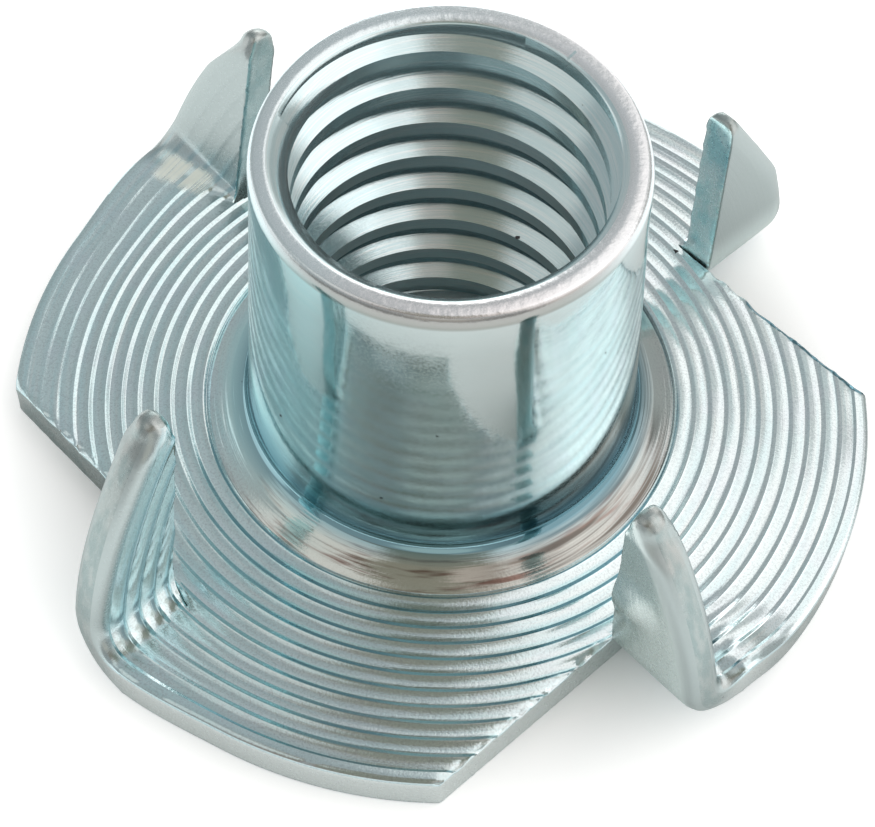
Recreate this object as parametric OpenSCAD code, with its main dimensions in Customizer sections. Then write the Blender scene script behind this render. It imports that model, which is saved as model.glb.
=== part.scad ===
// Four-prong tee nut for wood: a round flange with a threaded barrel, pressed from one
// piece of steel. The prongs are sheared out of the flange and bent up beside the barrel.
// Origin: centre of the flange's flat underside. The barrel points along +Z.

/* [Flange] */
// Diameter of the round flange
flange_d = 22; // [20:0.5:27]
// Thickness of the flange at its edge
sheet_t = 1.15; // [0.9:0.05:1.6]

/* [Barrel] */
// Outside diameter of the barrel at its top
barrel_d = 9; // [8.8:0.1:10]
// Height of the nut from the underside to the rim
nut_h = 10.4; // [9:0.1:16]
// Draft of the barrel's outside, in degrees a side, wider at the foot
barrel_draft = 3; // [0:0.2:4]
// Radius that rounds the outside of the rim
rim_round = 0.22; // [0.1:0.02:0.36]
// Radius of the fillet where the barrel meets the flange
foot_round = 0.52; // [0.2:0.02:0.8]

/* [Threaded bore] */
// Nominal diameter of the thread
thread_d = 8; // [7:0.5:8.5]
// Pitch of the thread
thread_pitch = 1.25; // [1:0.05:1.5]
// Share of the full thread height that the bore leaves standing
thread_height_share = 0.52; // [0.3:0.02:1]
// Diameter of the countersink at the rim
mouth_d = 8.1; // [7.6:0.1:8.3]
// Diameter of the countersink in the underside
entry_d = 8; // [7.6:0.1:8.4]

/* [Prongs] */
// Number of prongs, evenly spaced round the flange
prong_count = 4; // [3:1:5]
// Distance from the axis to each sheared edge and to the prong's inner edge
shear_distance = 8.05; // [7.6:0.05:8.5]
// Inside radius of the bend at the root of a prong
bend_r = 0.75; // [0.4:0.05:1.1]
// Thickness of a prong above its bend
prong_t = 1; // [0.7:0.05:1.15]
// Radius of the rounded tip of a prong
tip_r = 0.35; // [0.15:0.05:0.5]
// Turn of the first prong from +X, in degrees
first_prong = 45; // [0:5:90]

/* [Rings] */
// Width of the smooth annulus between the barrel's fillet and the first ring
annulus_w = 0.55; // [0.3:0.05:0.7]
// Depth of the smooth annulus below the ring tops
annulus_depth = 0.07; // [0.02:0.01:0.2]
// Distance from one ring to the next
ring_pitch = 0.415; // [0.3:0.005:0.6]
// Depth of the grooves between the rings
ring_depth = 0.055; // [0.02:0.005:0.1]
// Width of the plain land outside the last ring
edge_land = 0.35; // [0.2:0.05:0.8]

/* [Hidden] */
$fn = 96;
ARC_STEPS = 8;
PROFILE_STEPS = 16;
// Depth of a full internal thread as a share of its pitch
THREAD_DEPTH = 0.5413;

flange_r = flange_d / 2;
barrel_r = barrel_d / 2;
major_r = thread_d / 2;
thread_h = THREAD_DEPTH * thread_pitch;
bore_r = major_r - thread_h * thread_height_share;
annulus_z = sheet_t - annulus_depth;

// Radius of the drafted barrel wall at a height
function wall_r(z) = barrel_r + (nut_h - z) * tan(barrel_draft);

// Points on an arc round [x, y], from angle a to angle b
function arc(x, y, r, a, b, steps = ARC_STEPS, first = 0) =
    [for (i = [first:steps]) let (t = a + (b - a) * i / steps) [x + r * cos(t), y + r * sin(t)]];

// Centre of the foot fillet, which touches the drafted wall and the annulus
foot_z = annulus_z + foot_round;
foot_r = wall_r(foot_z) + foot_round / cos(barrel_draft);
// Centre of the rim's rounding, which touches the drafted wall and the top
rim_z = nut_h - rim_round;
rim_r = wall_r(rim_z) - rim_round / cos(barrel_draft);

ring_start = foot_r + annulus_w;
ring_count = floor((flange_r - edge_land - ring_start) / ring_pitch);
// A groove starts and ends at full height, and its floor takes the middle of the pitch
FLOOR_START = 0.25;
FLOOR_END = 1 - FLOOR_START;
GROOVE_SHAPE = [[0, 0], [FLOOR_START, -1], [FLOOR_END, -1]];

// Top of the ringed zone, from the edge of the flange inwards to the annulus
ring_profile = [
    for (i = [ring_count - 1:-1:0], g = GROOVE_SHAPE)
        [ring_start + (i + 1 - g[0]) * ring_pitch, sheet_t + g[1] * ring_depth]
];

// Half section of the blank: flange, rings, annulus, foot fillet, barrel and rim
blank_profile = concat(
    [[0, 0], [flange_r, 0], [flange_r, sheet_t]],
    ring_profile,
    [[ring_start, sheet_t], [ring_start, annulus_z]],
    arc(foot_r, foot_z, foot_round, 270, 180 + barrel_draft),
    arc(rim_r, rim_z, rim_round, barrel_draft, 90),
    [[0, nut_h]]
);

// The middle of a bend's wall sets the length of sheet that the bend takes up
bend_mid_r = bend_r + sheet_t / 2;
bend_length = bend_mid_r * PI / 2;
bend_top = sheet_t + bend_r;
// The flange's round edge, carried up the prong, is centred this far below the bend's top
edge_centre_z = bend_top - bend_length;
// The tip is a circle that touches the inner edge and the carried-up round edge
tip_y = shear_distance + tip_r;
tip_rise = sqrt(pow(flange_r - tip_r, 2) - tip_y * tip_y);
tip_angle = atan2(tip_rise, tip_y);
bend_end_angle = asin(bend_length / flange_r);

// Outer edge of the prong through its bend, seen along the bend line's normal
bend_edge = [
    for (i = [1:ARC_STEPS])
        let (a = 90 * i / ARC_STEPS, u = bend_mid_r * a * PI / 180)
        [sqrt(flange_r * flange_r - u * u), bend_top - bend_mid_r * cos(a)]
];

// Side view of a prong: distance from the axis against height
prong_side = concat(
    [[shear_distance, 0], [flange_r, 0], [flange_r, sheet_t / 2]],
    bend_edge,
    arc(0, edge_centre_z, flange_r, bend_end_angle, tip_angle, PROFILE_STEPS, first = 1),
    arc(tip_y, edge_centre_z + tip_rise, tip_r, tip_angle, 180, first = 1)
);
prong_h = edge_centre_z + tip_rise + tip_r;
// The sheet thins through the bend from its full thickness to the prong's
thinning = sheet_t - prong_t;
CUT = 1;

// The pressed blank, turned round the axis
module blank() {
    rotate_extrude($fn = 180) polygon(blank_profile);
}

// Bore at the thread's crests, with a countersink at each end
module bore() {
    translate([0, 0, -CUT]) cylinder(r = bore_r, h = nut_h + 2 * CUT);
    mouth_depth = mouth_d / 2 - bore_r;
    translate([0, 0, nut_h - mouth_depth])
        cylinder(r1 = bore_r, r2 = mouth_d / 2 + CUT, h = mouth_depth + CUT);
    entry_depth = entry_d / 2 - bore_r;
    translate([0, 0, -CUT])
        cylinder(r1 = entry_d / 2 + CUT, r2 = bore_r, h = entry_depth + CUT);
}

// Sheet that a prong leaves behind. The prong's frame: +Y outwards along the bend line,
// +X across it on the side that the prong was sheared from
module window() {
    translate([0, shear_distance, -CUT])
        cube([flange_r, flange_r, sheet_t + 2 * CUT]);
}

// Section across the bend line: a quarter bend, then the upright sheet
module bend_section() {
    difference() {
        intersection() {
            translate([-thinning, bend_top]) circle(r = bend_r + sheet_t);
            square([flange_r, bend_top]);
        }
        translate([0, bend_top]) circle(r = bend_r);
    }
    translate([bend_r, bend_top]) square([prong_t, prong_h - bend_top]);
}

// One prong: the bent sheet, trimmed to the outline that it was sheared to
module prong() {
    intersection() {
        translate([0, flange_r + CUT, 0]) rotate([90, 0, 0])
            linear_extrude(flange_r + CUT - shear_distance + CUT) bend_section();
        rotate([90, 0, 90])
            linear_extrude(flange_r) polygon(prong_side);
    }
}

// Everything inside, once for each prong in its own frame
module at_prongs() {
    for (i = [0:prong_count - 1])
        rotate([0, 0, first_prong - 90 + i * 360 / prong_count]) children();
}

module tee_nut() {
    color("lightsteelblue") {
        difference() {
            blank();
            bore();
            at_prongs() window();
        }
        at_prongs() prong();
    }
}

tee_nut();
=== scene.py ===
"""Four-prong tee nut in zinc-plated steel: the looks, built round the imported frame."""
import math
from dataclasses import dataclass

import bmesh
import bpy
import numpy as np
from mathutils import Matrix, Vector, kdtree, noise


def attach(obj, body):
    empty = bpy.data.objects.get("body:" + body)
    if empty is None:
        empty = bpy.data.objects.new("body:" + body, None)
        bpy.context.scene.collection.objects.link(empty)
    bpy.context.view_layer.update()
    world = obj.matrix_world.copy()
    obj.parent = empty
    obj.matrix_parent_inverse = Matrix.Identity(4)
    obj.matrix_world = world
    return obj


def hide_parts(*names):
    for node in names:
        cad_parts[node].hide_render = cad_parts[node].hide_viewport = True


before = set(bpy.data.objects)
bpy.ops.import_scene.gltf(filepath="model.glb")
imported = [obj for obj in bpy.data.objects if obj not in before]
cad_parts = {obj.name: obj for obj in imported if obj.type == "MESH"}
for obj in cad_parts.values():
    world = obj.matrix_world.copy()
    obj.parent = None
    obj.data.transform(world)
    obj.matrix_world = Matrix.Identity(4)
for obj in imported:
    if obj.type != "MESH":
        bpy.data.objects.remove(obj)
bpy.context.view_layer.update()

MM = 0.001  # lengths are millimetres, scaled to metres at the end, and azimuths are degrees

# --- Sizes ---
FLANGE_R = 10.99
SHEET_T = 1.15
NUT_H = 10.4
BARREL_R = 4.5  # outside radius at the rim, without its lip
BARREL_DRAFT = math.radians(3.0)
MOUTH_R = 4.05
ENTRY_R = 4.0
FOOT_ROUND = 0.42
RIM_LAND_R = 4.38
RIM_ROUND_H = 0.34
RIM_LIP = 0.04  # how far the barrel flares at its rim
OVAL = 0.035  # share by which the rim is drawn out towards +Y
OVAL_FROM = 2  # height from which the barrel turns oval
MOUTH_SHIFT = -0.07  # the mouth's place off the axis, along X
# Rows that round the flange's edge: distance in from it, share of the rounding
EDGE_ROWS = ((0, 1), (0.03, 0.5), (0.08, 0.15), (0.15, 0), (0.23, 0), (0.31, 0))
TOP_ROUND = 0.10  # depth of that rounding, at the top and below
LOW_ROUND = 0.05

RING_START = 6.03
RING_PITCH = 0.416
RING_COUNT = 11
RING_DEPTH = 0.042
# Section of one ring, from its outer side inwards: share of the pitch, share of the depth
RING_SHAPE = ((1.0, 1.0), (0.72, 0.70), (0.38, 0.34), (0.29, 0.0), (0.22, 0.12), (0.07, 0.88))
RING_WOBBLE = 0.010  # how far the rings' height wanders
FAINT_AT = 160  # azimuth round which the outer rings are faint
FAINT_R = 9.0  # radius from which they are
DEEP_AT = 278  # azimuth round which the rings are deeper
ANNULUS_DEPTH = 0.07
ANNULUS_RISE = 0.38  # height that the annulus climbs towards the barrel
ANNULUS_GAP = 0.02  # step in radius between the rings and the annulus
ANNULUS_ROWS = (0, 0.12, 0.3, 0.5, 0.7, 0.88)  # shares of its width
ANNULUS_BOW = 0.25  # how much of that climb is a curve
FOOT_REACH = 0.32  # distance from the barrel's wall at which the foot's fillet starts
LIP_H = 0.6  # height over which the lip flares
RIM_LAND_W = 0.18  # width of the flat land on the rim
UNDER_ROWS = (4.2, 6.0)  # radii of the underside's inner rows

THREAD_PITCH = 1.25
THREAD_MAJOR_R = 4.0
THREAD_MINOR_R = 3.65
THREAD_CREST = 0.37  # width of the flat at the minor diameter
THREAD_ROOT = 0.44  # width of the flat at the major diameter
THREAD_PHASE = 1.05  # height of a crest's upper edge on the far side (+Y)
TAP_SPARE = 4  # turns of the tap beyond the nut's height, and how many lie below it
TAP_BELOW = 3
BORE_STOCK = 0.3  # metal left inside the thread's crests for the cutters
CONE_PAST = 0.5  # how far a cone reaches past the face

COLUMNS = 360  # steps round the flange and barrel
TAP_COLUMNS = 180  # steps round the thread and the countersinks
WALL_STEPS = 8  # steps up the foot's fillet, and up the wall, then over the rim's rounding
RIM_STEPS = 6
MATCH_R = 7.6  # outside this radius both faces of the sheet share one lattice

# --- The mesh's materials, in order ---
PRESSED, SHEARED, THREAD, EDGE_REFLECTION = range(4)

# --- Prongs: the class Prong says what each value is ---
PRONGS = {
    "front_left": dict(az=228.8, angle=88.5, edge_az=219.9, edge_d=8.80, bend_r=0.76,
                       starts=(0.14, 0.02), thick=1.05, tip=0.55, flange_az=225.0, turn_in=3.3,
                       drawn=1.07, rings=1.7, scuffs=0.25, spread=0.30),
    "front_right": dict(az=313.0, angle=89.3, edge_az=311.7, edge_d=8.12, bend_r=0.75,
                        starts=(0.06, 0.02), thick=1.02, tip=0.50, flange_az=314.5, turn_in=0.5,
                        lift=0.6),
    "back_right": dict(az=42.5, angle=94.6, edge_az=47.0, edge_d=7.94, bend_r=0.64,
                       starts=(0.51, 0.29), thick=0.95, tip=0.55, flange_az=45.6, flange_d=7.92,
                       turn_in=1.5, drawn=1.02, scuffs=1.0, spread=0.1, ball=0.66),
    "back_left": dict(az=140.8, angle=69.6, edge_az=148.1, edge_d=8.08, bend_r=1.45,
                      starts=(0.90, 0.02), thick=1.02, tip=0.40, flange_az=137.0, turn_in=0.9,
                      drawn=1.12, rings=0.25, scuffs=1.0, spread=0.36, edge=SHEARED),
}
# Chord that flattens the round side of one prong: azimuths of its ends
CHORD = ("back_right", 0.0, 24.5)
# Swelling pressed out of one prong above its bend: place along and across, reach, height
SWELLING = ("front_right", 8.45, 3.9, 1.1, 0.27)
# Rings crushed where one prong starts to bend, painted pale as a cream highlight: its place along the seam
# and past it
CRUSHED_HIGHLIGHT = ("back_left", 8.9, 10.45, -0.25, 1.05)
# The cut whose rolled edge gets painted dark shade, and how far past the seam that starts
SHADED_EDGE = ("back_right", 2.0)
BEND_SPAN = (8.0, 10.9)  # radii at which the two starts of a bend are given
EDGE_STEPS = (0.04, 0.09, 0.16)  # distances from a sheared edge of the rows that round it
TURN_PAST = 0.4  # how far the turned-in cut is carried on past its corner
# Distances within which the faces round the seam, a root and a cut are sliced
NEAR_SEAM = 0.5
NEAR_ROOT = 0.45
NEAR_CUT = 0.3
NEAR_STEP = 0.2
WALL_LEVELS = (0.9, 0.62, 0.34, 0.08)  # heights of the rows down a sheared wall, as shares
TIP_CHAMFER = 38  # angle of the cuts that take off a tip's two corners
TIP_SHAVE = 0.12  # how far in they lie, as a share of the tip's width
TIP_SPREAD = 0.9  # how fast the rounded tip widens below its ball
TIP_REACH = 1.5  # how far down from the ball's centre the tip is rounded
BLUNT_W = 0.55  # width over which a prong's faces fall away to its round edge
BLUNT_DROP = 0.30  # how far they fall
ROLL_W = 0.2  # width of the rolled-over edge along the flange's cuts
ROLL_DROP = 0.09  # how far that edge is rolled down
ROOT_REACH = 1.2  # distance from a prong's root over which its edges stay sharper
CORNER_REACH = 0.5  # how far the softening of a lobe's corner and of a tip reach
TIP_SOFT_REACH = 1.0

# Creases sharper than these angles stay sharp: on pressed faces, then elsewhere
CREASE = 26
SHEARED_CREASE = 55

# --- Camera ---
IMAGE_W = 875  # width of the picture and focal length, in pixels
FOCAL_PX = 2142.21
ELEVATION = 0.98802  # how far down the camera looks and how far it rolls, in radians
ROLL = -0.03795
# Where the origin lies from the camera: right, up and away
ORIGIN_SEEN = (0.0895, 0.0166, 56.2351)


def make_camera():
    """Camera of the photograph, looking along +Y and down."""
    side = Vector((1, 0, 0))
    rise = Vector((0, math.sin(ELEVATION), math.cos(ELEVATION)))
    back = Vector((0, -math.cos(ELEVATION), math.sin(ELEVATION)))
    right = side * math.cos(ROLL) - rise * math.sin(ROLL)
    up = side * math.sin(ROLL) + rise * math.cos(ROLL)
    place = right * -ORIGIN_SEEN[0] + up * -ORIGIN_SEEN[1] + back * ORIGIN_SEEN[2]
    data = bpy.data.cameras.new("camera")
    data.sensor_fit = "HORIZONTAL"
    data.lens = data.sensor_width * FOCAL_PX / IMAGE_W
    data.clip_start = 0.001
    camera = bpy.data.objects.new("camera", data)
    turn = Matrix((right, up, back)).transposed().to_4x4()
    camera.matrix_world = Matrix.Translation(place * MM) @ turn
    bpy.context.collection.objects.link(camera)
    bpy.context.scene.camera = camera


# --- Half section ---
def wall_r(z):
    """Outside radius of the drafted barrel at a height."""
    return BARREL_R + (NUT_H - z) * math.tan(BARREL_DRAFT)


def edge_rows(z_face, drop):
    """Rows that round the flange's edge by a signed drop, from the edge inwards."""
    return [(FLANGE_R - inset, z_face + drop * share) for inset, share in EDGE_ROWS]


def ring_rows():
    """Rows of the scalloped rings, from the outermost inwards."""
    rows = []
    for i in reversed(range(RING_COUNT)):
        for s, dip in RING_SHAPE:
            rows.append((RING_START + (i + s) * RING_PITCH, SHEET_T - RING_DEPTH * dip))
    rows.append((RING_START, SHEET_T))
    return rows


def annulus_rows(floor_z):
    """Rows of the dish in which the annulus climbs to the foot's fillet, and its tilt there."""
    start_r, end_r = RING_START - ANNULUS_GAP, wall_r(floor_z) + FOOT_REACH
    rows = []
    for s in ANNULUS_ROWS:
        climb = s * (1 - ANNULUS_BOW + ANNULUS_BOW * s)
        rows.append((start_r + (end_r - start_r) * s, floor_z + ANNULUS_RISE * climb))
    slope = (1 + ANNULUS_BOW) * ANNULUS_RISE / (start_r - end_r)
    return rows, math.atan(slope)


def barrel_rows():
    """Rows from the annulus up the barrel, over the rim and down the plain bore."""
    floor_z = SHEET_T - ANNULUS_DEPTH
    rows, tilt = annulus_rows(floor_z)
    foot_z = floor_z + ANNULUS_RISE + FOOT_ROUND * math.cos(tilt)
    foot_r = wall_r(foot_z) + FOOT_ROUND / math.cos(BARREL_DRAFT)
    for i in range(WALL_STEPS + 1):
        a = math.radians(270) - tilt + (BARREL_DRAFT - math.radians(90) + tilt) * i / WALL_STEPS
        rows.append((foot_r + FOOT_ROUND * math.cos(a), foot_z + FOOT_ROUND * math.sin(a)))
    start = rows[-1][1]
    rim_z = NUT_H - RIM_ROUND_H
    for i in range(1, WALL_STEPS + 1):
        z = start + (rim_z - start) * i / WALL_STEPS
        rows.append((wall_r(z) + RIM_LIP * smooth((z - rim_z) / LIP_H + 1), z))
    for i in range(1, RIM_STEPS + 1):
        a = math.radians(90) * i / RIM_STEPS
        rows.append((RIM_LAND_R + (wall_r(rim_z) + RIM_LIP - RIM_LAND_R) * math.cos(a),
                     rim_z + RIM_ROUND_H * math.sin(a)))
    core = THREAD_MINOR_R - BORE_STOCK
    rows += [(RIM_LAND_R - RIM_LAND_W, NUT_H), (core, NUT_H), (core, 0.0)]
    return rows


def section():
    """The whole half section as a loop of (radius, height), from the top of the outer edge."""
    top = edge_rows(SHEET_T, -TOP_ROUND) + ring_rows()
    heights = dict(edge_rows(0.0, LOW_ROUND))
    matched = [(r, heights.get(r, 0.0)) for r, _ in reversed(top) if r >= MATCH_R]
    return top + barrel_rows() + [(r, 0.0) for r in UNDER_ROWS] + matched


def revolved(rows, name):
    """Mesh object of a closed loop of rows turned round the Z axis."""
    angles = np.arange(COLUMNS) * 2 * math.pi / COLUMNS
    verts = [(r * math.cos(a), r * math.sin(a), z) for r, z in rows for a in angles]
    faces = []
    for j in range(len(rows)):
        here, above = j * COLUMNS, (j + 1) % len(rows) * COLUMNS
        for i in range(COLUMNS):
            n = (i + 1) % COLUMNS
            faces.append((here + i, above + i, above + n, here + n))
    return mesh_object(name, verts, faces)


def mesh_object(name, verts, faces):
    mesh = bpy.data.meshes.new(name)
    mesh.from_pydata(verts, [], faces)
    mesh.update()
    body = bpy.data.objects.new(name, mesh)
    bpy.context.collection.objects.link(body)
    return body


# --- Thread ---
def tap():
    """A screw-shaped cutter: the space inside the thread, right-handed."""
    flank = (THREAD_PITCH - THREAD_CREST - THREAD_ROOT) / 2
    mid_r = (THREAD_MINOR_R + THREAD_MAJOR_R) / 2
    deep = THREAD_CREST + flank
    profile = [(0.0, THREAD_MINOR_R), (THREAD_CREST, THREAD_MINOR_R), (THREAD_CREST + flank / 2, mid_r),
               (deep, THREAD_MAJOR_R), (deep + THREAD_ROOT, THREAD_MAJOR_R),
               (THREAD_PITCH - flank / 2, mid_r)]
    turns = int(NUT_H / THREAD_PITCH) + TAP_SPARE
    rows = [(turn * THREAD_PITCH + h, r) for turn in range(turns + 1) for h, r in profile]
    start = THREAD_PHASE - THREAD_CREST - TAP_BELOW * THREAD_PITCH
    verts = []
    for i in range(TAP_COLUMNS):
        share = i / TAP_COLUMNS
        a = 2 * math.pi * share + math.radians(90)
        for h, r in rows:
            verts.append((r * math.cos(a), r * math.sin(a), start + h + share * THREAD_PITCH))
    # Each column joins the next, and the last joins the first one turn higher up
    size, shift = len(rows), len(profile)
    last = (TAP_COLUMNS - 1) * size
    faces = []
    for column in range(0, last, size):
        faces += [(j, j + size, j + size + 1, j + 1) for j in range(column, column + size - 1)]
    faces += [(last + j, j + shift, j + shift + 1, last + j + 1) for j in range(size - shift - 1)]
    # The ends: fans from a point on the axis
    bottom = list(range(0, last + 1, size)) + list(range(shift, 0, -1))
    top = list(range(size - 1, last, size)) + list(range(last + size - 1, last + size - shift - 2, -1))
    low, high = len(verts), len(verts) + 1
    verts += [(0, 0, start), (0, 0, start + rows[-1][0])]
    faces += [(low, b, a) for a, b in zip(bottom, bottom[1:] + bottom[:1])]
    faces += [(high, a, b) for a, b in zip(top, top[1:] + top[:1])]
    return mesh_object("tap", verts, faces)


def cone(r_low, z_low, r_high, z_high, shift=0.0):
    """A cutter for a countersink, set off the axis by the shift."""
    verts = [(shift, 0, z_low), (shift, 0, z_high)]
    turns = [2 * math.pi * i / TAP_COLUMNS for i in range(TAP_COLUMNS)]
    for r, z in ((r_low, z_low), (r_high, z_high)):
        verts += [(shift + r * math.cos(a), r * math.sin(a), z) for a in turns]
    faces = []
    for i in range(TAP_COLUMNS):
        a, b = 2 + i, 2 + (i + 1) % TAP_COLUMNS
        faces += [(a, b, b + TAP_COLUMNS, a + TAP_COLUMNS), (0, b, a), (1, a + TAP_COLUMNS, b + TAP_COLUMNS)]
    return mesh_object("cone", verts, faces)


def subtract(body, tool):
    """Cuts the tool out of the body and deletes the tool."""
    cut = body.modifiers.new("cut", "BOOLEAN")
    cut.operation = "DIFFERENCE"
    cut.solver = "MANIFOLD"
    cut.object = tool
    graph = bpy.context.evaluated_depsgraph_get()
    mesh = bpy.data.meshes.new_from_object(body.evaluated_get(graph))
    body.modifiers.clear()
    body.data = mesh
    bpy.data.objects.remove(tool)


# --- Prongs ---
@dataclass
class Prong:
    """A prong in the flat sheet: w runs outwards along its upright plane, u across it."""

    az: float  # azimuth of its upright plane
    angle: float  # how far it is bent up, in degrees
    edge_az: float  # azimuth of the straight edge it was sheared along
    edge_d: float  # distance of that edge from the axis
    bend_r: float  # inside radius of a bend that starts on the radial line
    starts: tuple  # how far past that line the bend starts, at its inner and outer end
    thick: float  # thickness above the bend
    tip: float  # width of the tip
    flange_az: float  # azimuth of the flange's own sheared edge
    turn_in: float  # how far along that edge the cut turns in towards the prong's root
    flange_d: float = 8.05  # distance of that edge from the axis
    drawn: float = 1.0  # how much longer the bend drew it
    rings: float = 1.0  # what it keeps of the rings' depth
    scuffs: float = 0.0  # how scuffed it is
    lift: float = 0.0  # how far its outer end is lifted, with the flange beside it
    spread: float = 0.0  # how far its round side is spread outwards
    edge: int = EDGE_REFLECTION  # material of its straight edge; by default the copy with a painted teal reflection
    ball: float = 0.46  # radius of the ball at its tip

    def __post_init__(self):
        self.out = direction(self.az)
        self.across = Vector((self.out.y, -self.out.x, 0))
        self.edge_n = direction(self.edge_az)
        self.flange_n = direction(self.flange_az)
        self.bend = math.radians(self.angle)
        self.slope = (self.starts[1] - self.starts[0]) / (BEND_SPAN[1] - BEND_SPAN[0])
        # The seam, along which the bend starts, as a line in plan
        self.seam_n = (self.across - self.out * self.slope).normalized()
        self.seam_d = self.place(BEND_SPAN[0], self.start(BEND_SPAN[0])).dot(self.seam_n)
        self.root = crossing(self.seam_n, self.seam_d, self.edge_n, self.edge_d)
        # Near the root the flange's cut turns in to meet the prong's own edge
        seam_end = crossing(self.seam_n, self.seam_d, self.flange_n, self.flange_d)
        turn = seam_end + self.away() * self.turn_in
        span = (turn - self.root).normalized()
        self.turn_n = Vector((-span.y, span.x, 0))
        self.turn_n *= 1 if self.turn_n.dot(self.flange_n) > 0 else -1
        self.turn_d = self.root.dot(self.turn_n)
        self.turn_reach = (turn - self.root).length + TURN_PAST

    def away(self):
        """Direction along the flange's sheared edge, away from the prong."""
        along = Vector((-self.flange_n.y, self.flange_n.x, 0))
        return along * (1 if along.dot(self.seam_n) > 0 else -1)

    def start(self, w):
        """How far past the radial line the bend starts."""
        return self.starts[0] + self.slope * (w - BEND_SPAN[0])

    def place(self, w, u, z=0.0):
        return self.out * w + self.across * u + Vector((0, 0, z))

    def wu(self, p):
        return p.dot(self.out), p.dot(self.across)

    def beyond(self, p):
        """How far a point of the flat sheet lies past the seam; negative inside it."""
        return p.dot(self.seam_n) - self.seam_d if p.dot(self.out) > 0 else -1.0

    def past_edge(self, p):
        return p.dot(self.edge_n) - self.edge_d

    def past_flange(self, p):
        return min(p.dot(self.flange_n) - self.flange_d, p.dot(self.turn_n) - self.turn_d)

    def pulled(self, p):
        """How the sheet is lifted and spread outwards round the outer end of the seam."""
        w, u = self.wu(p)
        if w < 0:
            return Vector()
        spread = self.spread * smooth((w - self.edge_d) / 2.5) * smooth((self.beyond(p) + 2.8) / 3.6)
        lift = self.lift * math.exp(-(u / 1.2) ** 2) * smooth((w - 8.2) / 2.8)
        return self.out * spread + Vector((0, 0, lift))

    def bent(self, p):
        """Where a point of the flat sheet lies once the prong is bent up."""
        w, u = self.wu(p)
        start = self.start(w)
        radius = self.bend_r - start / math.tan(self.bend / 2)
        mid = radius + SHEET_T / 2
        turn = min(max((u - start) / mid, 0), self.bend)
        share = smooth(turn / self.bend)
        depth = (SHEET_T - p.z) * (1 + (self.thick / SHEET_T - 1) * share)
        rho = radius + depth
        past = max(u - start - self.bend * mid, 0) * self.drawn
        side = min(start, u) + rho * math.sin(turn) + past * math.cos(self.bend)
        z = SHEET_T + radius - rho * math.cos(turn) + past * math.sin(self.bend)
        return self.place(w, side, z) + self.pulled(p)


def crossing(n1, d1, n2, d2):
    """Point in plan where two lines, each a normal and a distance, cross."""
    det = n1.x * n2.y - n1.y * n2.x
    return Vector(((d1 * n2.y - d2 * n1.y) / det, (d2 * n1.x - d1 * n2.x) / det, 0))


def direction(azimuth):
    a = math.radians(azimuth)
    return Vector((math.cos(a), math.sin(a), 0))


def smooth(x):
    x = min(max(x, 0.0), 1.0)
    return x * x * (3 - 2 * x)


def sheet_faces(bm, test):
    """Faces of the flange whose centre, in plan, passes the test."""
    found = []
    for f in bm.faces:
        c = f.calc_center_median()
        if c.x * c.x + c.y * c.y > (MATCH_R - 0.05) ** 2 and test(c):
            found.append(f)
    return found


def slice_faces(bm, faces, normal, distance):
    """Puts an edge where an upright plane crosses the faces."""
    edges = {e for f in faces for e in f.edges}
    verts = {v for f in faces for v in f.verts}
    bmesh.ops.bisect_plane(bm, geom=list(verts) + list(edges) + faces, dist=1e-5,
                           plane_co=normal * distance, plane_no=normal)


def cut_off(tab, normal, distance):
    """Cuts a prong's sheet along an upright plane and deletes what lies beyond it."""
    slice_faces(tab, list(tab.faces), normal, distance)
    gone = [f for f in tab.faces if f.calc_center_median().dot(normal) > distance]
    bmesh.ops.delete(tab, geom=gone, context="FACES")


def cut_body(bm, prong):
    """Cuts a prong's window out of the flange and returns the sheet that it held."""
    near = sheet_faces(bm, lambda c: abs(prong.beyond(c)) < NEAR_SEAM)
    slice_faces(bm, near, prong.seam_n, prong.seam_d)
    for step in (0,) + EDGE_STEPS:
        near = sheet_faces(bm, lambda c: (c.xy - prong.root.xy).length < NEAR_ROOT)
        slice_faces(bm, near, prong.edge_n, prong.edge_d + step)
    tab = bm.copy()
    keep = set(sheet_faces(tab, lambda c: prong.beyond(c) > 0 and prong.past_edge(c) > -NEAR_CUT))
    bmesh.ops.delete(tab, geom=[f for f in tab.faces if f not in keep], context="FACES")
    lines = ((prong.flange_n, prong.flange_d, FLANGE_R), (prong.turn_n, prong.turn_d, prong.turn_reach))
    for n, d, reach in lines:
        near = sheet_faces(bm, lambda c: prong.beyond(c) > 0 and abs(c.dot(n) - d) < NEAR_CUT
                           and (c.xy - prong.root.xy).length < reach)
        slice_faces(bm, near, n, d)
    gone = sheet_faces(bm, lambda c: prong.beyond(c) > 0 and prong.past_flange(c) > 0)
    bmesh.ops.delete(bm, geom=gone, context="FACES")
    for step in EDGE_STEPS:
        for n, d, reach in lines:
            near = sheet_faces(bm, lambda c: prong.beyond(c) > 0 and abs(c.dot(n) - d + step) < NEAR_STEP
                               and prong.past_flange(c) > -NEAR_CUT
                               and (c.xy - prong.root.xy).length < reach)
            slice_faces(bm, near, n, d - step)
    return tab


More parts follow.
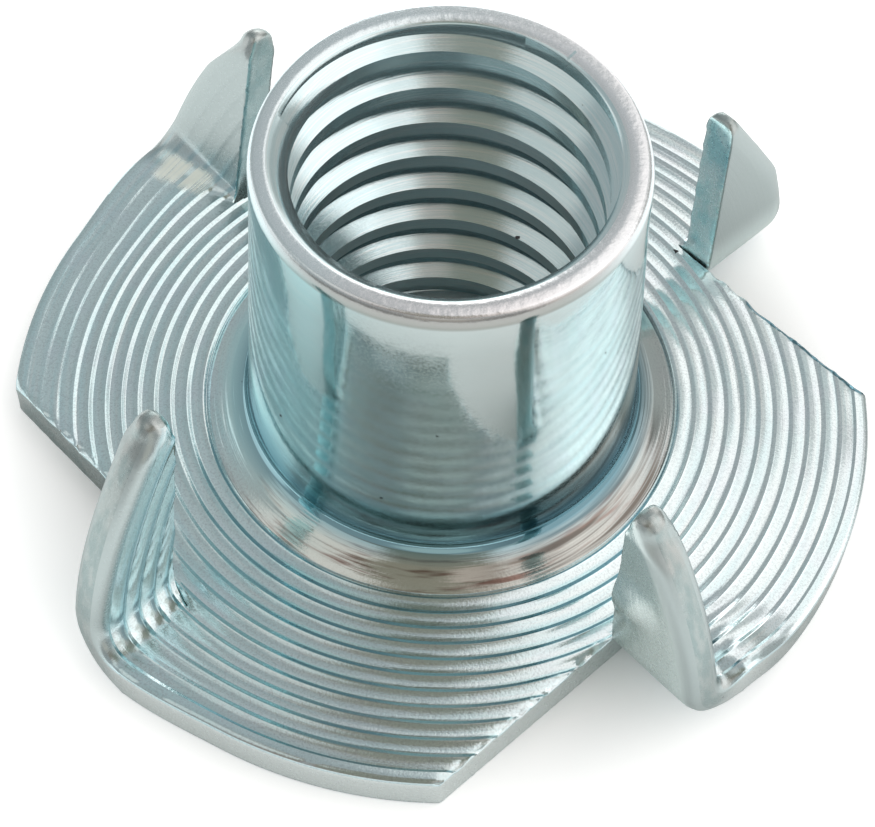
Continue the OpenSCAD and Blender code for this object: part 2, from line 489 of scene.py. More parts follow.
def trim_tab(tab, prong):
    """Cuts the prong to its straight edge and cuts its tip off. Returns the tip's place."""
    cut_off(tab, -prong.edge_n, -prong.edge_d)
    for step in EDGE_STEPS:
        slice_faces(tab, list(tab.faces), prong.edge_n, prong.edge_d + step)
    # The tip is cut where the straight edge and the round edge come within the tip's width
    along = Vector((prong.edge_n.y, -prong.edge_n.x, 0))
    reach = math.sqrt(FLANGE_R ** 2 - (prong.edge_d + prong.tip) ** 2)
    mid = prong.edge_n * (prong.edge_d + prong.tip / 2) + along * reach
    cut_off(tab, along, mid.dot(along))
    for turn in (-TIP_CHAMFER, TIP_CHAMFER):
        a = math.radians(turn)
        normal = along * math.cos(a) + prong.edge_n * math.sin(a)
        cut_off(tab, normal, mid.dot(normal) + prong.tip * (0.5 * abs(math.sin(a)) - TIP_SHAVE))
    return Vector((mid.x, mid.y, SHEET_T / 2))


def chord(start, end):
    """Normal and distance of a chord of the flange between two azimuths."""
    return direction((start + end) / 2), FLANGE_R * math.cos(math.radians(end - start) / 2)


def flatten_side(tab, normal, distance):
    """Cuts a prong's round side straight, still flat."""
    cut_off(tab, normal, distance)
    for step in EDGE_STEPS:
        slice_faces(tab, list(tab.faces), normal, distance - step)


def soften(verts, weight, rounds):
    """Moves each vertex towards its neighbours' mean, by its own weight."""
    near = {v: [e.other_vert(v) for e in v.link_edges] for v in verts}
    for _ in range(rounds):
        moved = {v: sum((o.co for o in near[v]), Vector()) / len(near[v]) for v in verts}
        for v, co in moved.items():
            v.co = v.co.lerp(co, weight[v])


def fill_walls(bm, skip):
    """Closes the sheet's open sides: quads between matching edges of its two faces."""
    top, low = [], []
    for e in bm.edges:
        if e.is_boundary and not skip(e):
            (top if e.verts[0].co.z + e.verts[1].co.z > SHEET_T else low).append(e)
    points = list({v for e in low for v in e.verts})
    tree = kdtree.KDTree(len(points))
    for i, v in enumerate(points):
        tree.insert((v.co.x, v.co.y, 0), i)
    tree.balance()
    column = {}

    def wall(v):
        if v not in column:
            _, i, gap = tree.find((v.co.x, v.co.y, 0))
            if gap > 1e-3:
                raise RuntimeError(f"no partner under {v.co}")
            under = points[i]
            mids = [bm.verts.new(under.co.lerp(v.co, s)) for s in WALL_LEVELS]
            column[v] = [v] + mids + [under]
        return column[v]

    made = []
    for e in top:
        a, b = wall(e.verts[0]), wall(e.verts[1])
        for i in range(len(a) - 1):
            made.append(bm.faces.new((a[i], b[i], b[i + 1], a[i + 1])))
            made[-1].material_index = SHEARED
    return made


def round_edges(walls, weight, rounds, reach=0, root=Vector()):
    """Takes the sharpness off the sheared walls' edges, away from open seams and the root."""
    verts = {v for f in walls for v in f.verts}
    for _ in range(reach):
        verts |= {e.other_vert(v) for v in verts for e in v.link_edges}
    verts = [v for v in verts if not v.is_boundary]
    soften(verts, {v: weight * smooth((v.co - root).length / ROOT_REACH) for v in verts}, rounds)


def round_corner(bm, corner, reach, rounds):
    """Takes the sharpness off everything near a point."""
    weight = {}
    for v in bm.verts:
        pull = smooth(1 - (v.co - corner).length / reach)
        if pull > 0 and not v.is_boundary:
            weight[v] = 0.6 * pull
    soften(list(weight), weight, rounds)


def lobe_corner(prong):
    """Where the flange's sheared edge meets its round edge, away from the prong."""
    reach = math.sqrt(FLANGE_R ** 2 - prong.flange_d ** 2)
    return prong.flange_n * prong.flange_d + prong.away() * reach + Vector((0, 0, SHEET_T / 2))


def roll_over(bm, prong, shade_from):
    """Rounds down the flange's top face along its sheared edge, and marks where painted shade darkens it."""
    rolled = bm.verts.layers.float["rolled"]
    for v in bm.verts:
        c = v.co
        if c.z > SHEET_T / 2 and prong.beyond(c) > 0 and c.xy.length > MATCH_R:
            inside = -prong.past_flange(c)
            if -0.01 < inside < ROLL_W:
                ragged = 0.7 + 1.3 * noise.noise(Vector((c.x * 2.6, c.y * 2.6, 0)))
                share = ragged * (1 - inside / ROLL_W) ** 2 * smooth(prong.beyond(c) / 1.5)
                c.z -= ROLL_DROP * share
                v[rolled] = share * smooth(prong.beyond(c) - shade_from)


def blunt_side(tab, prong, normal, distance):
    """Lets both faces of a prong, still flat, fall away towards its round side."""
    scuffed = tab.verts.layers.float["scuffed"]
    for v in tab.verts:
        inside = max(min(FLANGE_R - v.co.xy.length, distance - v.co.dot(normal)), 0)
        share = smooth(prong.beyond(v.co) / 1.2)
        q = max(1 - inside / BLUNT_W, 0)
        v.co.z -= BLUNT_DROP * (1 - math.sqrt(1 - q * q)) * share * (2 * v.co.z / SHEET_T - 1)
        v[scuffed] = max(v[scuffed], share * smooth((0.5 - inside) / 0.35))


def round_tip(tab, prong, tip):
    """Draws a bent prong's end in to a ball that widens into the prong."""
    top = prong.bent(tip)
    along = Vector((prong.edge_n.y, -prong.edge_n.x, 0))
    up = (top - prong.bent(tip - along * 0.3)).normalized()
    centre = top - up * prong.ball
    for v in tab.verts:
        arm = v.co - centre
        rise = min(arm.dot(up), 0)
        arm -= up * rise
        limit = prong.ball - TIP_SPREAD * rise
        if rise > -TIP_REACH and arm.length > limit:
            v.co = centre + up * rise + arm * (limit / arm.length)


def swell(tab, prong, place, across, reach, height):
    """Presses a rounded swelling out of the underside of a prong, still flat."""
    centre = prong.place(place, across)
    for v in tab.verts:
        pull = smooth(1 - (v.co.xy - centre.xy).length / reach)
        if pull > 0 and v.co.z < SHEET_T * 0.7:
            v.co.z -= height * pull


def crush_and_highlight(bm, prong, near, far, low, high):
    """Marks the top face, still flat, where its rings are crushed along the seam and get a painted pale
    highlight.
    """
    crushed_highlight = bm.verts.layers.float.new("crushed_highlight")
    for v in bm.verts:
        along, past = v.co.dot(prong.out), prong.beyond(v.co)
        if v.co.z > SHEET_T / 2 and along > near - 1:
            v[crushed_highlight] = (smooth((along - near) / 0.3) * smooth((far - along) / 0.3)
                          * smooth((past - low) / 0.2) * smooth((high - past) / 0.25))


def turned_nut():
    """The nut before its prongs are cut: turned, tapped, and countersunk at both ends."""
    body = revolved(section(), "tee_nut_finish")
    for v in body.data.vertices:
        if v.co.z > OVAL_FROM and v.co.y > 0 and v.co.xy.length > THREAD_MAJOR_R:
            v.co.y *= 1 + OVAL * smooth((v.co.z - OVAL_FROM) / (NUT_H - OVAL_FROM))
    subtract(body, tap())
    depth = MOUTH_R - THREAD_MINOR_R + BORE_STOCK
    subtract(body, cone(MOUTH_R - depth, NUT_H - depth, MOUTH_R + CONE_PAST, NUT_H + CONE_PAST,
                        MOUTH_SHIFT))
    subtract(body, cone(ENTRY_R + CONE_PAST, -CONE_PAST, ENTRY_R - depth, depth))
    return body


def vary_rings(bm):
    """Presses the rings fainter here and deeper there, and lets their height wander."""
    faint_at, deep_at = direction(FAINT_AT), direction(DEEP_AT)
    for v in bm.verts:
        r = v.co.xy.length
        if v.co.z > SHEET_T - 2 * RING_DEPTH and RING_START < r < FLANGE_R - 0.1:
            faint = smooth((r - FAINT_R) / 0.9) * smooth((v.co.dot(faint_at) / r - 0.7) / 0.25)
            deep = smooth((v.co.dot(deep_at) / r - 0.72) / 0.25)
            v.co.z = SHEET_T - (SHEET_T - v.co.z) * (1 - 0.6 * faint + 0.35 * deep)
            v.co.z += RING_WOBBLE * noise.noise(Vector((r * 4.8, v.co.x / r * 6, v.co.y / r * 6)))


def finish_flange(bm, walls, prongs):
    """Marks crushed rings for a painted highlight, rolls over with painted shade on one edge, pulls and
    rounds the flange round its windows.
    """
    for v in bm.verts:
        v[bm.verts.layers.float_vector["flat"]] = v.co
    crush_and_highlight(bm, prongs[CRUSHED_HIGHLIGHT[0]], *CRUSHED_HIGHLIGHT[1:])
    bm.verts.layers.float.new("rolled")
    for name, prong in prongs.items():
        roll_over(bm, prong, SHADED_EDGE[1] if name == SHADED_EDGE[0] else FLANGE_R)
        for v in bm.verts:
            if v.co.xy.length > MATCH_R:
                v.co += prong.pulled(v.co)
    round_edges(walls, 0.4, 2)
    for prong in prongs.values():
        round_corner(bm, lobe_corner(prong), CORNER_REACH, 8)


def mark_prong(tab, prong):
    """Writes a prong's flat place and its surface's state, and sets how deep its rings are."""
    layers = tab.verts.layers
    flat, scuffed, raised = layers.float_vector["flat"], layers.float["scuffed"], layers.float["raised"]
    for v in tab.verts:
        past = prong.beyond(v.co)
        v[flat] = v.co
        v[scuffed] = prong.scuffs * smooth((past - 0.6) / 1.5)
        v[raised] = smooth(past / 1.2)
        if v.co.z > SHEET_T - 2 * RING_DEPTH:
            keep = 1 + (prong.rings - 1) * smooth(past / 0.8)
            v.co.z = SHEET_T - (SHEET_T - v.co.z) * keep


def raise_prong(tab, name, prong, on_seam):
    """Trims a prong's sheet, shapes it while flat, bends it up and rounds it."""
    tab.verts.layers.float.new("scuffed")
    tab.verts.layers.float.new("raised")
    tip = trim_tab(tab, prong)
    side = chord(*CHORD[1:]) if name == CHORD[0] else (prong.out, 2 * FLANGE_R)
    flatten_side(tab, *side)
    walls = fill_walls(tab, on_seam)
    for f in walls:
        if all(abs(prong.past_edge(v.co)) < 0.01 for v in f.verts):
            f.material_index = prong.edge
    mark_prong(tab, prong)
    if name == CRUSHED_HIGHLIGHT[0]:
        crush_and_highlight(tab, prong, *CRUSHED_HIGHLIGHT[1:])
    blunt_side(tab, prong, *side)
    if name == SWELLING[0]:
        swell(tab, prong, *SWELLING[1:])
    for v in tab.verts:
        v.co = prong.bent(v.co)
    round_edges(walls, 0.5, 3, 1, prong.bent(prong.root + Vector((0, 0, SHEET_T / 2))))
    round_tip(tab, prong, tip)
    round_corner(tab, prong.bent(tip), TIP_SOFT_REACH, 4)


def shade(bm):
    """Gives the bore its material, and smooth shading to all but the sharp creases."""
    for f in bm.faces:
        f.smooth = True
        c = f.calc_center_median()
        if f.material_index == PRESSED and c.xy.length < MOUTH_R + 0.02 and c.z < NUT_H - 1e-4:
            f.material_index = THREAD
    for e in bm.edges:
        pressed = all(f.material_index == PRESSED for f in e.link_faces)
        e.smooth = e.calc_face_angle(0.0) < math.radians(CREASE if pressed else SHEARED_CREASE)


def write_turned(mesh):
    """Stores each point's radius plus height and its direction, from its place in the blank."""
    blank = np.empty(len(mesh.vertices) * 3, np.float32)
    mesh.attributes["flat"].data.foreach_get("vector", blank)
    x, y, z = blank.reshape(-1, 3).T
    r = np.maximum(np.hypot(x, y), 1e-6)
    turned = mesh.attributes.new("turned", "FLOAT_VECTOR", "POINT")
    turned.data.foreach_set("vector", np.stack([r + z, x / r, y / r], 1).ravel())


def build_nut():
    """The whole nut: turned, then each prong cut out of the flat flange and bent up."""
    body = turned_nut()
    bm = bmesh.new()
    bm.from_mesh(body.data)
    rim = [f for f in bm.faces if all(v.co.xy.length > FLANGE_R - 1e-3 for v in f.verts)]
    bmesh.ops.delete(bm, geom=rim, context="FACES")
    bm.verts.layers.float_vector.new("flat")
    vary_rings(bm)
    prongs = {name: Prong(**values) for name, values in PRONGS.items()}
    tabs = {name: cut_body(bm, prong) for name, prong in prongs.items()}

    def on_seam(e):
        c = (e.verts[0].co + e.verts[1].co) / 2
        return any(abs(p.beyond(c)) < 1e-3 and p.past_edge(c) > -1e-3 for p in prongs.values())

    finish_flange(bm, fill_walls(bm, on_seam), prongs)
    for name, tab in tabs.items():
        raise_prong(tab, name, prongs[name], on_seam)
        part = bpy.data.meshes.new("prong")
        tab.to_mesh(part)
        tab.free()
        bm.from_mesh(part)
        bpy.data.meshes.remove(part)
    seam = [v for v in bm.verts if v.is_boundary]
    bmesh.ops.remove_doubles(bm, verts=seam, dist=1e-3)
    bmesh.ops.recalc_face_normals(bm, faces=bm.faces)
    shade(bm)
    mesh = bpy.data.meshes.new("tee_nut_finish")
    bm.to_mesh(mesh)
    bm.free()
    mesh.transform(Matrix.Scale(MM, 4))
    write_turned(mesh)
    body.data = mesh
    return body


# --- Materials ---
# The plating on the flange, then on the barrel, whose wall tints hold painted light and shade
COOL_ZINC = (0.535, 0.70, 0.73, 1)
PALE_ZINC = (0.63, 0.745, 0.76, 1)
WARM_ZINC = (0.72, 0.74, 0.73, 1)
LILAC_ZINC = (0.61, 0.68, 0.74, 1)
GRAIN_ZINC = (0.42, 0.50, 0.53, 1)
TEAL_SHADE_ZINC = (0.45, 0.78, 0.81, 1)
WALL_SHEEN_ZINC = (0.685, 0.83, 0.835, 1)
FRONT_SHADE_ZINC = (0.535, 0.57, 0.56, 1)
BLUE_SHADE_ZINC = (0.24, 0.43, 0.49, 1)
DEEP_SHADE_ZINC = (0.08, 0.20, 0.25, 1)
RIM_ZINC = (0.76, 0.77, 0.80, 1)
# The prongs, with a cream painted highlight on crushed rings
UNDER_ZINC = (0.76, 0.87, 0.86, 1)
SCUFFED_ZINC = (0.41, 0.475, 0.475, 1)
CREAM_HIGHLIGHT_ZINC = (0.90, 0.99, 0.92, 1)
# The annulus: painted light on its front, a stain, rust, and brown painted shade (used under the rim too)
ANNULUS_LIGHT_ZINC = (0.62, 0.63, 0.57, 1)
STAINED_ZINC = (0.10, 0.096, 0.088, 1)
BROWN_SHADE_ZINC = (0.19, 0.18, 0.155, 1)
RUSTY_ZINC = (0.21, 0.15, 0.13, 1)
# The sheared edges: two dull tones, two bright ones that paint a teal reflection on the prongs' straight
# edges, and one of painted light for the flange's front
DULL_ZINC = (0.30, 0.375, 0.375, 1)
GREY_ZINC = (0.39, 0.445, 0.44, 1)
BLUE_EDGE_REFLECTION = (0.64, 0.89, 0.91, 1)
PALE_EDGE_REFLECTION = (0.84, 0.97, 0.97, 1)
LIT_ZINC = (0.68, 0.74, 0.735, 1)
SPECK = (0.05, 0.055, 0.06, 1)

BUMP_H = 0.000010  # height, in metres, of a bump of 1
THREAD_METALLIC = 0.84  # below 1, so that the deep turns don't go black
# Heights over which the flange gives way to the barrel's wall
WALL_HEIGHTS = (0.9, 1.5)
# Bands: where each starts, is full, starts to fade and is gone
ANNULUS_RADII = (6.4, 6.6, 7.12, 7.2)  # of radius plus height
ANNULUS_HEIGHTS = (0.6, 0.9, 1.42, 1.52)
FOOT_SHADE_HEIGHTS = (1.36, 1.5, 2.5, 3.3)  # painted deep blue shade, where the barrel rises
BROWN_SHADE_LINE = (10.0, 10.12, 10.32, 10.39)  # painted shade under the rim
GROOVE_AT = 0.3  # place of a groove's floor, where its painted shade is darkest, as a share of the ring pitch
STAIN_AT = -42  # azimuth of the stain on the annulus


class Graph:
    """Short spellings for building a node tree; an input is a socket or a plain value."""

    def __init__(self, tree):
        self.tree = tree

    def add(self, kind, output=0, inputs=None, **settings):
        node = self.tree.nodes.new("ShaderNode" + kind)
        for key, value in settings.items():
            setattr(node, key, value)
        self.fill(node, inputs or {})
        return node.outputs[output]

    def fill(self, node, inputs):
        for key, value in inputs.items():
            self.put(value, node.inputs[key])

    def put(self, value, socket):
        if isinstance(value, bpy.types.NodeSocket):
            self.tree.links.new(value, socket)
        else:
            socket.default_value = value

    def math(self, operation, a, b=0.0):
        return self.add("Math", operation=operation, inputs={0: a, 1: b})

    def times(self, first, *others):
        for other in others:
            first = self.math("MULTIPLY", first, other)
        return first

    def plus(self, first, *others):
        for other in others:
            first = self.math("ADD", first, other)
        return first

    def scaled(self, vector, factors):
        return self.add("VectorMath", operation="MULTIPLY", inputs={0: vector, 1: factors})

    def dot(self, vector, other):
        return self.add("VectorMath", output="Value", operation="DOT_PRODUCT",
                        inputs={0: vector, 1: other})

    def vector(self, name):
        """A vector that the mesh stores at each point."""
        return self.add("Attribute", output=1, attribute_name=name)

    def level(self, name):
        """A number that the mesh stores at each point."""
        return self.add("Attribute", output=2, attribute_name=name)

    def part(self, vector, axis):
        return self.add("SeparateXYZ", output="XYZ".index(axis), inputs={0: vector})

    def noise(self, vector, factors, detail, rough):
        """Noise over a vector scaled by one factor, or by one for each axis."""
        if not isinstance(factors, tuple):
            factors = (factors,) * 3
        return self.add("TexNoise", inputs={"Vector": self.scaled(vector, factors), "Scale": 1.0,
                                            "Detail": detail, "Roughness": rough})

    def ramp(self, value, low, high, to_low=0.0, to_high=1.0):
        return self.add("MapRange", interpolation_type="SMOOTHSTEP",
                        inputs={"Value": value, "From Min": low, "From Max": high,
                                "To Min": to_low, "To Max": to_high})

    def band(self, value, start, full, fade, gone):
        return self.times(self.ramp(value, start, full), self.ramp(value, fade, gone, 1.0, 0.0))

    def mix(self, factor, a, b):
        node = self.tree.nodes.new("ShaderNodeMix")
        node.data_type = "RGBA"
        for name, value in (("Factor", factor), ("A", a), ("B", b)):
            self.put(value, next(i for i in node.inputs if i.name == name and i.enabled))
        return next(o for o in node.outputs if o.enabled)

    def bump(self, height):
        return self.add("Bump", inputs={"Height": height, "Strength": 1.0, "Distance": BUMP_H})


def new_material(name, graph_class=Graph):
    material = bpy.data.materials.new(name)
    material.use_nodes = True
    return material, graph_class(material.node_tree), material.node_tree.nodes["Principled BSDF"]


def specked(graph, flat, colour, amount):
    """Adds sparse dark specks to a colour."""
    wobble = graph.add("TexNoise", output=1, inputs={"Vector": flat, "Scale": 6.0})
    place = graph.add("VectorMath", operation="ADD",
                      inputs={0: flat, 1: graph.scaled(wobble, (0.15, 0.15, 0.15))})
    cells = graph.tree.nodes.new("ShaderNodeTexVoronoi")
    graph.fill(cells, {"Vector": graph.scaled(place, (1.6, 1.6, 1.6)), "Scale": 1.0})
    chosen = graph.add("SeparateColor", inputs={0: cells.outputs["Color"]})
    size = graph.ramp(chosen, 1 - amount, 1.0, 0.0, 0.10)
    speck = graph.math("LESS_THAN", cells.outputs["Distance"], size)
    return graph.mix(speck, colour, SPECK)


class PressedGraph(Graph):
    """The pressed faces: the fields that their colour, roughness and bumps share."""

    def __init__(self, tree):
        super().__init__(tree)
        self.flat = self.vector("flat")
        self.turned = self.vector("turned")
        self.height = self.part(self.flat, "Z")
        # Radius plus height, then the direction from the axis: to the right and to the back
        self.radius, self.side, self.back = (self.part(self.turned, axis) for axis in "XYZ")
        self.scuffed, self.raised = self.level("scuffed"), self.level("raised")
        self.on_flange = self.ramp(self.height, *WALL_HEIGHTS, 1.0, 0.0)
        self.on_wall = self.ramp(self.height, *WALL_HEIGHTS)
        self.on_rim = self.ramp(self.height, NUT_H - 0.35, NUT_H - 0.1)
        self.in_annulus = self.times(self.band(self.radius, *ANNULUS_RADII),
                                     self.band(self.height, *ANNULUS_HEIGHTS))
        self.under = self.times(self.raised, self.ramp(self.height, 0.2, 0.4, 1.0, 0.0))
        self.grain = self.noise(self.flat, 15, 2.0, 0.6)
        self.streak = self.noise(self.turned, (9, 1.2, 1.2), 4.0, 0.65)
        self.lathe = self.noise(self.turned, (16, 1.2, 1.2), 2.0, 0.6)
        # Crushed rings: rougher, less metallic, and painted pale as a cream highlight
        self.crushed_highlight = self.times(self.level("crushed_highlight"), self.ramp(self.lathe, 0.34, 0.56, 0.25, 1.0),
                                  self.ramp(self.math("PINGPONG", self.radius, RING_PITCH), 0.02, 0.09))
        self.colour = COOL_ZINC

    def lay(self, colour, *factors):
        """Lays a colour over what is there, as far as the factors let it."""
        self.colour = self.mix(self.times(*factors), self.colour, colour)

    def lay_plating(self):
        """Plating that drifts between cool, pale, warm and lilac."""
        tint = self.noise(self.turned, (6, 2.0, 2.0), 3.0, 0.6)
        cloud = self.noise(self.flat, 0.9, 2.0, 0.55)
        self.lay(PALE_ZINC, self.ramp(tint, 0.35, 0.6))
        self.lay(WARM_ZINC, self.ramp(self.streak, 0.5, 0.75, 0.0, 0.6))
        self.lay(LILAC_ZINC, self.ramp(cloud, 0.45, 0.7, 0.0, 0.5))

    def lay_barrel(self):
        """The barrel's painted light and shade: teal painted shade on its left, a paler painted sheen on its
        right, grey painted shade in front and blue painted shade below.
        """
        # Painted light and shade by side: teal shade on the left, a paler sheen on the right
        wall = self.mix(self.ramp(self.side, -0.5, 0.65), TEAL_SHADE_ZINC, WALL_SHEEN_ZINC)
        # Painted shade on the barrel's front: grey, and deep blue lower down
        front_shade = self.times(self.on_wall, self.ramp(self.back, -0.72, -0.97, 0.0, 0.75))
        self.lay(wall, self.on_wall, 0.7)
        self.lay(FRONT_SHADE_ZINC, front_shade)
        self.lay(BLUE_SHADE_ZINC, front_shade, self.ramp(self.height, 2.6, 5.0, 0.4, 0.0))

    def lay_grain_and_rim(self):
        """Fine grain on the flange, the rim's own tone, and a painted brown shade line under its front."""
        fine = self.noise(self.flat, 19, 2.0, 0.6)
        self.lay(GRAIN_ZINC, self.ramp(fine, 0.44, 0.68, 0.0, 0.7), self.on_flange)
        self.lay(RIM_ZINC, self.on_rim, 0.6)
        # Painted brown shade under the rim's front
        front = self.ramp(self.back, -0.35, -0.85, 0.0, 0.65)
        self.lay(BROWN_SHADE_ZINC, self.band(self.height, *BROWN_SHADE_LINE), front)

    def lay_prongs(self):
        """Undersides, scuffs, painted dark shade along one rolled edge and in the grooves, and rings crushed
        at a bend with a painted pale highlight.
        """
        self.lay(UNDER_ZINC, self.under)
        self.lay(SCUFFED_ZINC, self.scuffed)
        # Painted dark shade along one rolled edge, marked in the rolled layer
        self.lay(DEEP_SHADE_ZINC, self.ramp(self.level("rolled"), 0.01, 0.12, 0.0, 0.95))
        # Painted shade in the grooves of the prongs' raised rings
        phase = self.math("SUBTRACT", self.radius, RING_START + SHEET_T + GROOVE_AT * RING_PITCH)
        groove = self.ramp(self.math("PINGPONG", phase, RING_PITCH / 2), 0.02, 0.10, 0.75, 0.0)
        self.lay(BLUE_SHADE_ZINC, groove, self.raised, self.ramp(self.height, 0.8, 1.0),
                 self.math("SUBTRACT", 1.0, self.scuffed))
        # Painted cream highlight where rings are crushed
        self.lay(CREAM_HIGHLIGHT_ZINC, self.crushed_highlight)

    def lay_annulus_and_foot(self):
        """The annulus: painted light and rust at its front, a stain, brown painted shade to its right, and
        the deep blue painted shade at the foot.
        """
        stain_at = direction(STAIN_AT)
        near = self.ramp(self.dot(self.turned, (0, stain_at.x, stain_at.y)), 0.75, 0.97)
        rust = self.ramp(self.noise(self.turned, (9, 2.2, 2.2), 3.0, 0.6), 0.5, 0.68)
        # Painted light on the annulus's front
        self.lay(ANNULUS_LIGHT_ZINC, self.ramp(self.back, -0.3, -0.85, 0.0, 0.6), self.in_annulus)
        self.lay(STAINED_ZINC, near, self.ramp(self.lathe, 0.38, 0.6, 0.4, 1.0), self.in_annulus)
        # Painted brown shade on the annulus's right
        self.lay(BROWN_SHADE_ZINC, self.ramp(self.side, 0.3, 0.9, 0.0, 0.3), self.in_annulus)
        self.lay(RUSTY_ZINC, rust, self.ramp(self.back, -0.3, -0.8), self.in_annulus)
        # Painted blue shade at the barrel's foot, deeper to the right
        blue = self.mix(self.ramp(self.side, 0.15, 0.6), BLUE_SHADE_ZINC, DEEP_SHADE_ZINC)
        self.lay(blue, self.band(self.height, *FOOT_SHADE_HEIGHTS), 0.9)

    def roughness(self):
        return self.plus(self.ramp(self.grain, 0.3, 0.7, 0.13, 0.19),
                         self.times(self.on_wall, -0.07), self.times(self.on_rim, 0.16),
                         self.times(self.scuffed, 0.16), self.times(self.under, 0.12),
                         self.times(self.crushed_highlight, 0.3))

    def bumps(self):
        """Fine grain, drag marks round the flange and the annulus, and a rougher rim."""
        peel = self.noise(self.flat, 2.6, 2.0, 0.5)
        pits = self.noise(self.flat, 5, 2.0, 0.5)
        return self.plus(self.times(self.grain, self.plus(self.times(self.on_flange, 0.26), 0.02)),
                         self.times(self.streak, self.on_flange, 0.55), self.times(peel, 0.15),
                         self.times(pits, self.on_rim, 0.9),
                         self.times(self.lathe, self.in_annulus, 1.2))


def pressed_zinc():
    """The stamped and turned faces: flange, barrel, rim, and both faces of the prongs."""
    material, graph, shader = new_material("pressed_zinc", PressedGraph)
    graph.lay_plating()
    graph.lay_barrel()
    graph.lay_grain_and_rim()
    graph.lay_prongs()
    graph.lay_annulus_and_foot()
    graph.fill(shader, {"Base Color": specked(graph, graph.flat, graph.colour, 0.05),
                        "Roughness": graph.roughness(), "Normal": graph.bump(graph.bumps()),
                        "Metallic": graph.math("SUBTRACT", 1.0, graph.times(graph.crushed_highlight, 0.8))})
    return material


def sheared_zinc(name, tone, other):
    """The edges left by the shears: in two tones, with painted light making them lighter at the flange's
    front.
    """
    material, graph, shader = new_material(name)
    flat = graph.vector("flat")
    grain = graph.noise(flat, 12, 3.0, 0.6)
    drag = graph.noise(flat, (7, 7, 1.2), 2.0, 0.5)
    blotch = graph.noise(flat, 1.6, 2.0, 0.5)
    colour = graph.mix(graph.ramp(blotch, 0.35, 0.65), tone, other)
    back = graph.part(graph.vector("turned"), "Z")
    on_flange = graph.math("SUBTRACT", 1.0, graph.level("raised"))
    # Painted light on the sheared walls at the flange's front
    colour = graph.mix(graph.times(graph.ramp(back, -0.6, -0.8), on_flange), colour, LIT_ZINC)
    bumps = graph.plus(graph.times(grain, 0.15), graph.times(drag, 0.45))
    graph.fill(shader, {"Base Color": specked(graph, flat, colour, 0.06), "Metallic": 1.0,
                        "Roughness": graph.ramp(grain, 0.3, 0.7, 0.25, 0.36), "Normal": graph.bump(bumps)})
    return material


def thread_zinc():
    """The cut thread: bright, with fine drag marks along the turns."""
    material, graph, shader = new_material("thread_zinc")
    flat = graph.vector("flat")
    streak = graph.noise(graph.vector("turned"), (22, 1.5, 1.5), 3.0, 0.6)
    grain = graph.noise(flat, 20, 2.0, 0.6)
    colour = graph.mix(graph.ramp(streak, 0.45, 0.65), COOL_ZINC, PALE_ZINC)
    bumps = graph.plus(graph.times(streak, 0.22), graph.times(grain, 0.06))
    graph.fill(shader, {"Base Color": specked(graph, flat, colour, 0.12), "Metallic": THREAD_METALLIC,
                        "Roughness": graph.ramp(grain, 0.3, 0.7, 0.10, 0.18), "Normal": graph.bump(bumps)})
    return material


# --- Surroundings ---
FLOOR_HALF = 0.6  # half the floor's width, in metres
PAPER = (0.83, 0.89, 0.90, 1)
FLOOR_LIFT = 0.62  # glow that brings the lit floor up to white
# Metres from the axis over which it sets in: seen directly, and in the metal. Nearer the nut the glow is
# missing, which paints a soft shade round its foot and in the floor that the metal mirrors
GLOW_SEEN = (0.007, 0.0138)
GLOW_MIRRORED = (0.009, 0.017)


def make_floor():
    """White paper under the nut, whose glow fades near the nut as painted shade."""
    s = FLOOR_HALF
    floor = mesh_object("floor", [(-s, -s, 0), (s, -s, 0), (s, s, 0), (-s, s, 0)], [(0, 1, 2, 3)])
    material, graph, shader = new_material("paper")
    path = graph.tree.nodes.new("ShaderNodeLightPath")
    spot = graph.tree.nodes.new("ShaderNodeTexCoord").outputs["Object"]
    away = graph.add("VectorMath", output="Value", operation="LENGTH", inputs={0: spot})
    seen = graph.times(path.outputs["Is Camera Ray"], graph.ramp(away, *GLOW_SEEN))
    for ray in ("Is Glossy Ray", "Is Transmission Ray"):
        met = graph.times(path.outputs[ray], graph.ramp(away, *GLOW_MIRRORED))
        seen = graph.math("MAXIMUM", seen, met)
    graph.fill(shader, {"Base Color": PAPER, "Roughness": 0.9, "Specular IOR Level": 0.1,
                        "Emission Color": (1, 1, 1, 1), "Emission Strength": graph.times(seen, FLOOR_LIFT)})
    floor.data.materials.append(material)


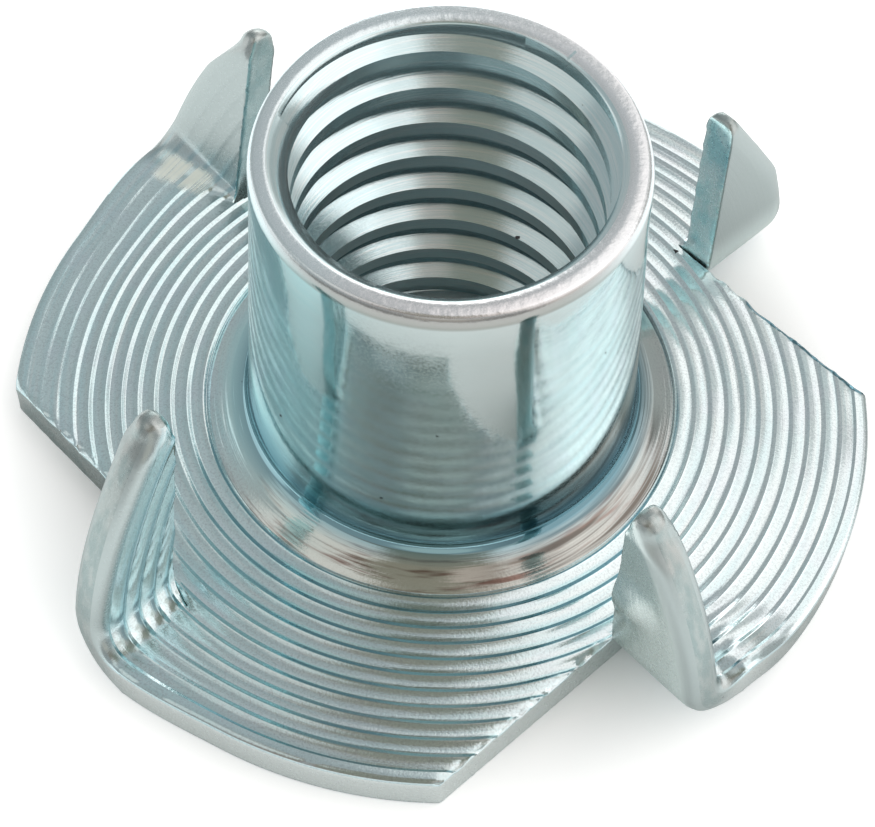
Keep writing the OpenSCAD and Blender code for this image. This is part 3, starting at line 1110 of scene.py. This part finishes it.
# The room as seen from the nut. Each patch: azimuth, elevation, the angles from its middle at
# which it starts to fade and is gone, and its light
ROOM = (0.50, 0.50, 0.50, 1)
PATCHES = [
    (-115, 67, 21, 29, (0.44, 0.34, 0.31, 1)),
    (-88, 70, 20, 28, (0.34, 0.31, 0.255, 1)),
    (-165, 62, 13, 20, (0.90, 0.84, 0.81, 1)),
    (-63, 57, 9, 12.5, (0.62, 0.52, 0.47, 1)),
    (-90, 22, 12, 22, (0.85, 0.80, 0.74, 1)),
    (172, 8, 18, 28, (1.20, 1.12, 1.10, 1)),
    (20, 20, 59, 67, (1.50, 1.36, 1.32, 1)),
    (-48, 45, 7, 12, (0.95, 0.86, 0.80, 1)),
    (38, 8, 20, 30, (0.52, 0.50, 0.48, 1)),
    (92, 40, 11, 17, (0.55, 0.54, 0.54, 1)),
    (50, 38, 8, 14, (0.80, 0.76, 0.74, 1)),
    (106, 57, 8, 15, (0.575, 0.565, 0.57, 1)),
    (2, 45, 14, 24, (1.85, 1.70, 1.66, 1)),
    (90, 14, 8, 14, (2.80, 2.66, 2.60, 1)),
]


def make_world():
    """The room that the zinc mirrors, as a background of soft patches of light."""
    world = bpy.data.worlds.new("studio")
    bpy.context.scene.world = world
    world.use_nodes = True
    graph = Graph(world.node_tree)
    towards = graph.tree.nodes.new("ShaderNodeTexCoord").outputs["Generated"]
    colour = ROOM
    for azimuth, elevation, full, gone, light in PATCHES:
        rise = math.radians(elevation)
        aim = tuple(direction(azimuth) * math.cos(rise) + Vector((0, 0, math.sin(rise))))
        near = graph.ramp(graph.dot(towards, aim), math.cos(math.radians(gone)),
                          math.cos(math.radians(full)))
        colour = graph.mix(near, colour, light)
    graph.fill(world.node_tree.nodes["Background"], {"Color": colour, "Strength": 1.0})


make_camera()
make_floor()
make_world()
nut = build_nut()
# The last material is a brighter copy of the sheared zinc, painting a teal reflection on the prongs'
# straight edges
for material in (pressed_zinc(), sheared_zinc("sheared_zinc", DULL_ZINC, GREY_ZINC), thread_zinc(),
                 sheared_zinc("edge_reflection_zinc", BLUE_EDGE_REFLECTION, PALE_EDGE_REFLECTION)):
    nut.data.materials.append(material)
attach(nut, "root")
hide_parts("tee_nut")

scene = bpy.context.scene
scene.view_settings.view_transform = "Standard"
